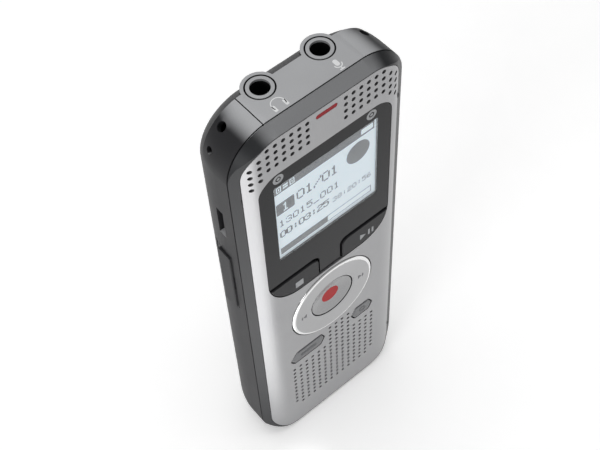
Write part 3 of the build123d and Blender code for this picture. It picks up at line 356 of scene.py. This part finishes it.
mic_foot = box_outline(mic_x - 0.5, mic_y - 1.4, mic_x + 0.5, mic_y - 1.15)
mic_stem = box_outline(mic_x - 0.11, mic_y - 1.2, mic_x + 0.11, mic_y - 0.7)
for index, loop in enumerate([mic_head, mic_yoke, mic_foot, mic_stem]):
    sheet = cut_sheet("microphone_mark", [loop], MARK_T)
    place = on_top(MARK_TOP - MARK_STEP * index, MARK_T)
    set_piece(f"microphone_mark_{index}", sheet, print_white, CASE, place)

# ==== display window ====
# Acrylic sheet, back-painted near black outside the picture: a dark surround with a clear pane
# in it. The two lower corners are cut away for the stop and play keys.
FACE = -9.2
LENS_FRONT = FACE + 0.3
LENS_T = 1.0
LENS_GAP = 0.1
LENS_HALF = 15.17 - LENS_GAP
LENS_LOW, LENS_HIGH = 57.1 + LENS_GAP, 97.5 - LENS_GAP
LENS_TOP_R, LENS_LOW_R = 4.3 - LENS_GAP, 7.6 - LENS_GAP
KEY_TOP = 63.3 + 0.2
KEY_IN = 2.85 - 0.2
KEY_CORNER = 1.7
VIEW = (-11.85, 71.1, 11.85, 93.5)


def window_outline():
    """Outline of the window with both key cut-outs, anticlockwise from the lower middle."""
    points = [(KEY_IN, LENS_LOW)]
    points += [(KEY_IN, KEY_TOP - KEY_CORNER)]
    points += arc(KEY_IN + KEY_CORNER, KEY_TOP - KEY_CORNER, KEY_CORNER, 180, 90, 8)[1:]
    points += [(LENS_HALF, KEY_TOP)]
    points += arc(LENS_HALF - LENS_TOP_R, LENS_HIGH - LENS_TOP_R, LENS_TOP_R, 0, 90, 12)
    mirrored = [(-x, z) for x, z in reversed(points)]
    return points + mirrored


window_black = finish_of(
    "back_painted_acrylic",
    "#1C1C1E",
    "#161618",
    0.4 * MM,
    (0.14, 0.2),
    IOR=1.49,
    **{"Specular IOR Level": 0.14},
)
surround = cut_sheet("window_surround", [window_outline(), box_outline(*VIEW, 0.3)], LENS_T, edge=0.12)
place = on_face(LENS_FRONT, LENS_T)
surround_piece = set_piece("window_surround", surround, window_black, CASE, place)
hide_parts("display_lens")

clear_acrylic = finish_of(
    "clear_acrylic",
    "#F4F7F8",
    "#EEF2F4",
    0.5 * MM,
    (0.0, 0.03),
    IOR=1.49,
    **{"Transmission Weight": 1.0, "Specular IOR Level": 0.2},
)
PANE_T = LENS_T - 0.04
pane = cut_sheet("window_pane", [box_outline(*VIEW, 0.3)], PANE_T)
set_piece("window_pane", pane, clear_acrylic, CASE, on_face(LENS_FRONT + 0.02, PANE_T))

# Small grey printed rings in the window's upper corners.
print_grey = finish_of("pad_print_grey", "#9C9EA0", "#8E9092", 0.15 * MM, (0.4, 0.55), IOR=1.5)
RING_MARK_Z = 95.5
for side, ring_x in (("left", -10.75), ("right", 10.3)):
    mark_loops = {"outer": [circle(ring_x, RING_MARK_Z, 1.15), circle(ring_x, RING_MARK_Z, 0.6)]}
    mark_loops["dot"] = [circle(ring_x, RING_MARK_Z, 0.34)]
    for word, loops in mark_loops.items():
        mark = cut_sheet("window_ring", loops, MARK_T)
        place = on_face(LENS_FRONT - MARK_T + MARK_SUNK, MARK_T)
        set_piece(f"window_ring_{side}_{word}", mark, print_grey, CASE, place)

# ==== display ====
# Liquid crystal glass over a white light guide. The glass glows pale blue-grey. The figures are
# square dots 0.2 to 0.37 mm apart, and the larger marks are flat shapes.
LCD_FRONT = FACE + 1.35


def glow_of(name, light, dark, strength, grain):
    """Display surface that gives off its own light, a little uneven over a fine grain."""
    material = finish_of(name, light, dark, grain, (0.35, 0.45), IOR=1.5)
    tree = material.node_tree
    surface = next(n for n in tree.nodes if n.type == "BSDF_PRINCIPLED")
    colour = surface.inputs["Base Color"].links[0].from_socket
    tree.links.new(colour, surface.inputs["Emission Color"])
    surface.inputs["Emission Strength"].default_value = strength
    return material


lcd_glow = glow_of("lit_liquid_crystal", "#E2EBF1", "#D8E2E9", 0.55, 0.26 * MM)
coat(lcd_glow, "lcd_panel")
lcd_mark = glow_of("dark_liquid_crystal", "#5A5F66", "#51565D", 0.12, 0.26 * MM)

DOTS = {
    "0": "01110 10001 10001 10001 10001 10001 01110",
    "1": "00100 01100 00100 00100 00100 00100 01110",
    "2": "01110 10001 00001 00110 01000 10000 11111",
    "3": "01110 10001 00001 00110 00001 10001 01110",
    "5": "11111 10000 11110 00001 00001 10001 01110",
    "6": "00110 01000 10000 11110 10001 10001 01110",
    "8": "01110 10001 10001 01110 10001 10001 01110",
    ":": "00000 00100 00100 00000 00100 00100 00000",
    "/": "00001 00001 00010 00100 01000 10000 10000",
    "_": "00000 00000 00000 00000 00000 00000 11111",
    "#": "11111 10001 10101 10101 10101 10001 11111",
    "=": "00000 11111 11111 00000 11111 11111 00000",
}


def dots_of(text, left, top, dot, pitch):
    """Centres of the lit dots of a line of figures, in millimetres."""
    places = []
    for index, figure in enumerate(text):
        for row, line in enumerate(DOTS.get(figure, "").split()):
            for column, lit in enumerate(line):
                if lit == "1":
                    places.append(
                        (left + index * pitch + (column + 0.5) * dot, top - (row + 0.5) * dot)
                    )
    return places


def dot_tree(material):
    """Node tree that sets one thin square dot on every point of a mesh."""
    tree = bpy.data.node_groups.new("display_dots", "GeometryNodeTree")
    tree.interface.new_socket("Geometry", in_out="INPUT", socket_type="NodeSocketGeometry")
    size = tree.interface.new_socket("Dot size", in_out="INPUT", socket_type="NodeSocketFloat")
    height = tree.interface.new_socket("Dot height", in_out="INPUT", socket_type="NodeSocketFloat")
    thick = tree.interface.new_socket("Dot thickness", in_out="INPUT", socket_type="NodeSocketFloat")
    tree.interface.new_socket("Geometry", in_out="OUTPUT", socket_type="NodeSocketGeometry")
    entry = add_node(tree, "NodeGroupInput")
    shape = add_node(
        tree,
        "ShaderNodeCombineXYZ",
        {
            "X": entry.outputs["Dot size"],
            "Y": entry.outputs["Dot thickness"],
            "Z": entry.outputs["Dot height"],
        },
    )
    dot = add_node(tree, "GeometryNodeMeshCube", {"Size": shape.outputs[0]})
    spread = add_node(
        tree,
        "GeometryNodeInstanceOnPoints",
        {"Points": entry.outputs["Geometry"], "Instance": dot.outputs["Mesh"]},
    )
    real = add_node(tree, "GeometryNodeRealizeInstances", {"Geometry": spread.outputs[0]})
    dressed = add_node(
        tree, "GeometryNodeSetMaterial", {"Geometry": real.outputs[0], "Material": material}
    )
    add_node(tree, "NodeGroupOutput", {0: dressed.outputs[0]})
    return tree, (size.identifier, height.identifier, thick.identifier)


DOT_FILL = 0.92


def dotted(name, places, dot, front_y, material):
    """Piece of small square dots at (x, z) places, grown from points by the node tree."""
    seeds = bpy.data.meshes.new(name)
    seeds.from_pydata([(x * MM, (front_y + MARK_T / 2) * MM, z * MM) for x, z in places], [], [])
    holder = bpy.data.objects.new(name, seeds)
    bpy.context.scene.collection.objects.link(holder)
    tree, sockets = dot_tree(material)
    grow = holder.modifiers.new("dots", "NODES")
    grow.node_group = tree
    for socket, value in zip(sockets, (dot * DOT_FILL, dot * DOT_FILL, MARK_T)):
        grow[socket] = value * MM
    bpy.context.view_layer.update()
    mesh = bpy.data.meshes.new_from_object(holder.evaluated_get(bpy.context.evaluated_depsgraph_get()))
    bpy.data.objects.remove(holder)
    return set_piece(name, mesh, material, CASE)


MARK_FRONT = LCD_FRONT - MARK_T + 0.004
BOLD_SHIFT = 0.13
dotted(
    "count_figures",
    dots_of("01/01", -6.8, 87.75, 0.37, 1.95),
    0.37,
    MARK_FRONT,
    lcd_mark,
)
dotted(
    "file_figures",
    dots_of("13015_001", -11.1, 82.5, 0.27, 1.6),
    0.27,
    MARK_FRONT,
    lcd_mark,
)
time_places = dots_of("00:03:25", -11.1, 79.1, 0.27, 1.45)
time_places += [(x + BOLD_SHIFT, z) for x, z in time_places]
dotted("time_figures", time_places, 0.27, MARK_FRONT, lcd_mark)
dotted(
    "total_figures",
    dots_of("38:20:56", 1.4, 78.3, 0.2, 1.2),
    0.2,
    MARK_FRONT,
    lcd_mark,
)

display_shapes = {
    "header_bar": [box_outline(-11.5, 90.6, 11.4, 92.9), box_outline(8.3, 91.0, 11.1, 92.4, 0.2)],
    "level_disc": [circle(7.6, 86.9, 2.75)],
    "folder_mark": [box_outline(-11.4, 84.4, -7.3, 87.7, 0.3)],
    "progress_frame": [box_outline(-11.2, 72.0, 10.9, 73.9), box_outline(-11.05, 72.15, 10.75, 73.75)],
    "progress_fill": [box_outline(-11.1, 72.1, 0.1, 73.8)],
}
for index, (name, loops) in enumerate(display_shapes.items()):
    place = on_face(MARK_FRONT + MARK_STEP * index, MARK_T)
    set_piece(name, cut_sheet(name, loops, MARK_T), lcd_mark, CASE, place)
LIGHT_FRONT = MARK_FRONT - MARK_T + 0.012
dotted(
    "folder_figure",
    dots_of("1", -10.2, 87.2, 0.34, 1.6),
    0.34,
    LIGHT_FRONT,
    lcd_glow,
)
dotted(
    "header_icons",
    dots_of("#=#", -11.1, 92.5, 0.22, 1.5),
    0.22,
    LIGHT_FRONT,
    lcd_glow,
)

# ==== stop and play keys ====
# Black ABS caps in the window's lower corners, satin polished, with printed grey marks.
# They sink 0.3 mm when pressed.
key_satin = finish_of(
    "satin_black_abs",
    "#1E1E20",
    "#18181A",
    0.14 * MM,
    (0.3, 0.4),
    bump=0.002 * MM,
    IOR=1.5,
    **DULL,
)
coat(key_satin, "play_key", "stop_key")
key_marks = {
    "stop_mark": ("stop key", [[(-9.0, 58.5), (-7.1, 58.5), (-7.1, 60.3), (-9.0, 60.3)]]),
    "play_mark": ("play key", [[(7.6, 58.9), (9.1, 59.75), (7.6, 60.6)]]),
    "pause_mark_left": ("play key", [box_outline(9.7, 58.9, 10.15, 60.6)]),
    "pause_mark_right": ("play key", [box_outline(10.65, 58.9, 11.1, 60.6)]),
}
for name, (body, loops) in key_marks.items():
    place = on_face(FACE - MARK_T + MARK_SUNK, MARK_T)
    set_piece(name, cut_sheet(name, loops, MARK_T), print_grey, body, place)

# ==== leaf-shaped keys ====
# Smoky grey caps under the ring, glossy, with rounded edges that catch the light.
# Each carries a small dark printed mark and sinks with its key.
smoky = finish_of("smoky_polycarbonate", "#58595C", "#4A4B4E", 0.2 * MM, (0.06, 0.12), IOR=1.58)
LEAVES = {
    "menu_key": [(-11.8, 30.8), (-10.0, 33.2), (-3.4, 33.2), (-2.5, 31.2), (-3.6, 29.2), (-10.7, 29.2)],
    "index_key": [(5.3, 31.0), (6.3, 33.2), (10.0, 33.2), (11.1, 31.2), (10.2, 29.2), (6.2, 29.2)],
}
LEAF_CORNER = 0.7
LEAF_EDGE = 0.45
LEAF_T = 1.75
LEAF_FRONT = FACE - 0.1


def rounded_corners(points, radius, steps=6):
    """Closed outline with each corner turned into an arc."""
    outline = []
    for before, corner, after in zip(points[-1:] + points[:-1], points, points[1:] + points[:1]):
        corner = Vector(corner)
        back, forth = (Vector(before) - corner).normalized(), (Vector(after) - corner).normalized()
        opening = back.angle(forth) / 2
        centre = corner + (back + forth).normalized() * radius / math.sin(opening)
        reach = math.tan(opening)
        first, last = corner + back * radius / reach, corner + forth * radius / reach
        for step in range(steps + 1):
            share = step / steps
            leg = (first - centre).lerp(last - centre, share).normalized() * radius
            outline.append(tuple(centre + leg))
    return outline


for node, outline in LEAVES.items():
    cap_mesh = cut_sheet(node, [rounded_corners(outline, LEAF_CORNER)], LEAF_T, edge=LEAF_EDGE)
    body = node.replace("_", " ")
    leaf = set_piece(f"{node}_cap", cap_mesh, smoky, body, on_face(LEAF_FRONT, LEAF_T))
    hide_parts(node)
leaf_ink = finish_of("dark_key_print", "#4C4D50", "#424346", 0.15 * MM, (0.4, 0.55), IOR=1.5)
menu_bar = [(-8.9, 30.75), (-5.1, 30.75), (-4.8, 31.2), (-5.1, 31.65), (-8.9, 31.65), (-9.2, 31.2)]
leaf_marks = {
    "menu_key_mark": ("menu key", [menu_bar]),
    "index_key_mark": ("index key", [circle(8.3, 31.2, 0.85), circle(8.3, 31.2, 0.45)]),
}
for name, (body, loops) in leaf_marks.items():
    place = on_face(LEAF_FRONT - MARK_T + MARK_SUNK, MARK_T)
    set_piece(name, cut_sheet(name, loops, MARK_T), leaf_ink, body, place)

# ==== ring and record button ====
# The ring is plated ABS: a satin face inside a polished bevel, whose near-white colour is partly a painted
# highlight. The record button is plated too, with a dished top and a red inlay at its middle.
plated = finish_of("satin_chrome_plating", "#ADADAE", "#A3A3A4", 0.12 * MM, (0.12, 0.2), Metallic=1.0)
coat(plated, "nav_ring")
button_plate = finish_of(
    "satin_plated_button", "#9C9C9D", "#909091", 0.12 * MM, (0.2, 0.28), Metallic=0.9
)
coat(button_plate, "record_button")
inlay_red = finish_of(
    "red_acrylic_inlay", "#B01418", "#A01014", 0.3 * MM, (0.2, 0.3), **{"Specular IOR Level": 0.1}
)
coat(inlay_red, "record_dot")
RING_Z = 45.7


def arrow(x, width, high, way):
    """Triangle that points left or right."""
    return [(x, RING_Z - high / 2), (x, RING_Z + high / 2), (x + way * width, RING_Z)]


# Polished bevel let into the ring's outer edge: a closed band turned about the ring's axis. Its near-white
# colour, brighter than the plating, is a painted highlight standing in for the bright reflections along the
# rim.
polished = finish_of(
    "chrome_bevel_painted_highlight", "#F2F2F2", "#EAEAEA", 0.12 * MM, (0.05, 0.09), Metallic=0.8
)
BEVEL_PROFILE = [(10.6, -8.9), (10.6, -9.22), (10.42, -9.4), (10.1, -9.5), (9.75, -9.49), (9.75, -8.9)]
BEVEL_STEPS = 96
form = bmesh.new()
turns = []
for step in range(BEVEL_STEPS):
    angle = 2 * math.pi * step / BEVEL_STEPS
    across, up = math.cos(angle), math.sin(angle)
    points = [(r * across * MM, y * MM, (RING_Z + r * up) * MM) for r, y in BEVEL_PROFILE]
    turns.append([form.verts.new(point) for point in points])
for near, far in zip(turns, turns[1:] + turns[:1]):
    for i in range(len(BEVEL_PROFILE)):
        following = (i + 1) % len(BEVEL_PROFILE)
        face = form.faces.new((near[i], near[following], far[following], far[i]))
        face.smooth = 0 < i < 4
bevel_mesh = bpy.data.meshes.new("ring_bevel")
form.to_mesh(bevel_mesh)
form.free()
set_piece("ring_bevel", bevel_mesh, polished, "navigation ring")

ARROW_START = 7.0
ARROW_FRONT = -9.425
ARROW_STEP = 0.018
print_dark = finish_of("pad_print_dark", "#6A6B6E", "#606164", 0.15 * MM, (0.4, 0.55), IOR=1.5)
for side in (-1, 1):
    word = "left" if side < 0 else "right"
    for index in range(2):
        loop = arrow(side * (ARROW_START + index), 0.95, 1.3, side)
        mark = cut_sheet("ring_arrow", [loop], MARK_T)
        place = on_face(ARROW_FRONT - ARROW_STEP * index, MARK_T)
        set_piece(
            f"ring_arrow_{word}_{index}", mark, print_dark, "navigation ring", place
        )

# ==== recording light ====
# Red acrylic bar, flush with the plate between the microphone perforations.
# It carries the light of a lamp behind it, and is shown unlit.
light_red = finish_of(
    "translucent_red_acrylic",
    "#981620",
    "#88101A",
    0.3 * MM,
    (0.2, 0.3),
    **{"Specular IOR Level": 0.1},
)
coat(light_red, "led_light_pipe")

# ==== microphones and loudspeaker ====
# Steel capsules in black rubber boots behind the upper holes; a paper-coned loudspeaker with a
# rubber gasket behind the lower ones. Black cloth lies behind both. Small steel fittings share
# the capsules' finish.
boot_rubber = finish_of(
    "black_silicone", "#242425", "#1B1B1C", 0.3 * MM, (0.6, 0.75), bump=0.004 * MM, IOR=1.42
)
coat(boot_rubber, "mic_boots", "speaker_gasket", "keypad")
capsule = finish_of(
    "pressed_steel", "#A9A9A6", "#9A9A98", 0.2 * MM, (0.28, 0.4), bump=0.003 * MM, Metallic=1.0
)
coat(
    capsule,
    "microphones",
    "usb_socket",
    "card_socket",
    "dome_switches",
    "ring_gimbal",
    "card_door_pin",
)
cone = finish_of(
    "black_paper_cone", "#3A3A3A", "#2C2C2C", 0.25 * MM, (0.6, 0.8), bump=0.01 * MM, IOR=1.45
)
coat(cone, "speaker")

ACOUSTIC_T = 0.02
CLOTH_SLOPE_X = 13.0
CLOTH_SLOPE = 0.95
FLAT_HALF = 13.1
BACK_CURVE_R = 6.7


def plate_back(x):
    """Depth of the plate's rear face in millimetres at this x."""
    past = max(0.0, abs(x) - FLAT_HALF)
    return FACE + 0.8 + BACK_CURVE_R - math.sqrt(BACK_CURVE_R**2 - past**2)


def acoustic_cloth(name, low_x, low_z, high_x, high_z, steps=12):
    """Black woven cloth glued behind one field of holes.

    It follows the plate's rear face, and its top slopes away at the plate's rounded corners.
    """
    form = bmesh.new()
    rows = []
    for x in [low_x + (high_x - low_x) * i / steps for i in range(steps + 1)]:
        y = plate_back(x)
        top = high_z - CLOTH_SLOPE * max(0.0, abs(x) - CLOTH_SLOPE_X)
        corners = [(y - ACOUSTIC_T, low_z), (y - ACOUSTIC_T, top), (y, top), (y, low_z)]
        rows.append([form.verts.new((x * MM, depth * MM, z * MM)) for depth, z in corners])
    for near, far in zip(rows, rows[1:]):
        for i in range(4):
            form.faces.new((near[i], near[(i + 1) % 4], far[(i + 1) % 4], far[i]))
    form.faces.new(rows[0])
    form.faces.new(rows[-1][::-1])
    mesh = bpy.data.meshes.new(name)
    form.to_mesh(mesh)
    form.free()
    set_piece(name, mesh, cloth_black, CASE)


cloth_black = finish_of(
    "black_acoustic_cloth", "#0C0C0D", "#050506", 0.2 * MM, (0.8, 0.95), bump=0.01 * MM, IOR=1.3
)
acoustic_cloth("cloth_left", -16.8, 99.0, -3.4, 105.9)
acoustic_cloth("cloth_right", 3.4, 99.0, 16.8, 105.9)
acoustic_cloth("cloth_speaker", -12.0, 8.6, 12.0, 27.4)
acoustic_cloth("cloth_tongue", -3.6, 27.4, 3.6, 34.2)

# ==== circuit board and display carrier ====
# Glass fibre board under green resist, with black moulded epoxy chips.
# The display's carrier, its light guide and the record lamp are in white polycarbonate.
resist = finish_of(
    "green_solder_resist", "#1F5A34", "#174A2A", 0.5 * MM, (0.3, 0.45), bump=0.01 * MM, IOR=1.5
)
coat(resist, "main_board")
chip_epoxy = finish_of(
    "black_moulding_epoxy", "#1E1E20", "#161618", 0.15 * MM, (0.5, 0.65), bump=0.004 * MM, IOR=1.5
)
coat(chip_epoxy, "board_chips")
carrier_white = finish_of("white_polycarbonate", "#E6E6E2", "#DADAD6", 0.3 * MM, (0.35, 0.5), IOR=1.58)
coat(carrier_white, "lcd_tray", "lcd_backlight", "record_lamp")

# ==== hold switch ====
# Black acetal knob with three grip grooves, on a black switch body in the right side.
# The knob slides 3 mm along the side.
acetal = finish_of(
    "black_acetal", "#2A2A2C", "#202022", 0.15 * MM, (0.35, 0.48), bump=0.004 * MM, IOR=1.48
)
coat(acetal, "hold_switch", "hold_switch_body")

# ==== batteries, contacts and springs ====
# Two AAA cells, each in one plain film colour all over.
# Their contacts and coil springs are nickel plated.
sleeve = finish_of("printed_film_sleeve", "#2F4F6B", "#27435C", 0.3 * MM, (0.2, 0.3), IOR=1.5)
coat(sleeve, "battery_left", "battery_right")
nickel = finish_of(
    "nickel_plate", "#C6C4BC", "#B6B4AC", 0.2 * MM, (0.2, 0.32), bump=0.003 * MM, Metallic=1.0
)
coat(nickel, "battery_springs", "battery_contacts")

# ==== case screws ====
# Four screws of blackened steel with cross recesses, sunk in the back.
# They hold the two halves of the case together.
black_steel = finish_of(
    "blackened_steel", "#3A3A3C", "#2E2E30", 0.15 * MM, (0.3, 0.42), bump=0.003 * MM, Metallic=1.0
)
coat(black_steel, "case_screws")

# ==== floor, light and camera ====
# White studio table that glows evenly of itself, with a painted pool of light at the front left: a brighter
# patch of the table's own glow, standing in for a bright card low at the front left, whose reflection runs
# along the curved edge of the face. A broad soft light hangs overhead and a weak one at the left.
FLOOR_HALF = 3.0
floor_mesh = bpy.data.meshes.new("floor")
corners = [(x * FLOOR_HALF, y * FLOOR_HALF, 0) for x, y in ((-1, -1), (1, -1), (1, 1), (-1, 1))]
floor_mesh.from_pydata(corners, [], [(0, 1, 2, 3)])
floor = bpy.data.objects.new("floor", floor_mesh)
bpy.context.scene.collection.objects.link(floor)
floor_white = finish_of("white_card", "#FDFDFD", "#FAFAFA", 4 * MM, (0.8, 0.9), IOR=1.3)
floor_mesh.materials.append(floor_white)
# Painted pool of light: this rectangle of the table glows brighter than the rest, though no lamp lights it.
GLOW_X = (-0.10, -0.008)
GLOW_Y = (-0.13, -0.010)
GLOW_EDGE = 0.018
GLOW_STRENGTH = 1.7
TABLE_GLOW = 0.32
glow_tree = floor_white.node_tree
place = add_node(glow_tree, "ShaderNodeTexCoord")
axes = add_node(glow_tree, "ShaderNodeSeparateXYZ", {0: place.outputs["Object"]})
glow = None
for axis, (start, stop) in (("X", GLOW_X), ("Y", GLOW_Y)):
    for near, far in ((start, start + GLOW_EDGE), (stop, stop - GLOW_EDGE)):
        ramp = add_node(
            glow_tree,
            "ShaderNodeMapRange",
            {"Value": axes.outputs[axis], "From Min": near, "From Max": far},
            interpolation_type="SMOOTHSTEP",
        )
        share = ramp.outputs[0]
        if glow is not None:
            product = add_node(glow_tree, "ShaderNodeMath", {0: glow, 1: share}, operation="MULTIPLY")
            share = product.outputs[0]
        glow = share
glow_level = add_node(
    glow_tree, "ShaderNodeMath", {0: glow, 1: GLOW_STRENGTH, 2: TABLE_GLOW}, operation="MULTIPLY_ADD"
)
card = next(n for n in glow_tree.nodes if n.type == "BSDF_PRINCIPLED")
card.inputs["Emission Color"].default_value = (1, 1, 1, 1)
glow_tree.links.new(glow_level.outputs[0], card.inputs["Emission Strength"])

WORLD_STRENGTH = 0.3
world = bpy.data.worlds.new("studio")
bpy.context.scene.world = world
world.use_nodes = True
world.node_tree.nodes["Background"].inputs["Color"].default_value = (1, 1, 1, 1)
world.node_tree.nodes["Background"].inputs["Strength"].default_value = WORLD_STRENGTH


def soft_light(name, place, aim, size, power):
    """Square area light aimed at a point."""
    lamp = bpy.data.lights.new(name, "AREA")
    lamp.shape = "SQUARE"
    lamp.size = size
    lamp.energy = power
    holder = bpy.data.objects.new(name, lamp)
    bpy.context.scene.collection.objects.link(holder)
    holder.location = place
    holder.rotation_mode = "QUATERNION"
    holder.rotation_quaternion = (Vector(aim) - Vector(place)).to_track_quat("-Z", "Y")
    return holder


MIDDLE = Vector((0, 0, 0.054))
soft_light("overhead", (0.0, 0.1, 1.3), MIDDLE, 0.9, 7.0)
soft_light("left", (-0.7, -0.2, 0.3), MIDDLE, 0.3, 1.5)

CAMERA_PLACE = Vector((-78.14, -104.58, 253.48)) * MM
CAMERA_AIM = Vector((1.98, 2.88, 56.37)) * MM
CAMERA_ROLL = math.radians(-3.85)
lens = bpy.data.cameras.new("view")
lens.sensor_width = 36.0
lens.lens = 70.2
lens.clip_start = 0.01
camera = bpy.data.objects.new("view", lens)
bpy.context.scene.collection.objects.link(camera)
aim = (CAMERA_AIM - CAMERA_PLACE).to_track_quat("-Z", "Y").to_matrix().to_4x4()
camera.matrix_world = Matrix.Translation(CAMERA_PLACE) @ aim @ Matrix.Rotation(CAMERA_ROLL, 4, "Z")
bpy.context.scene.camera = camera
bpy.context.scene.view_settings.view_transform = "Standard"
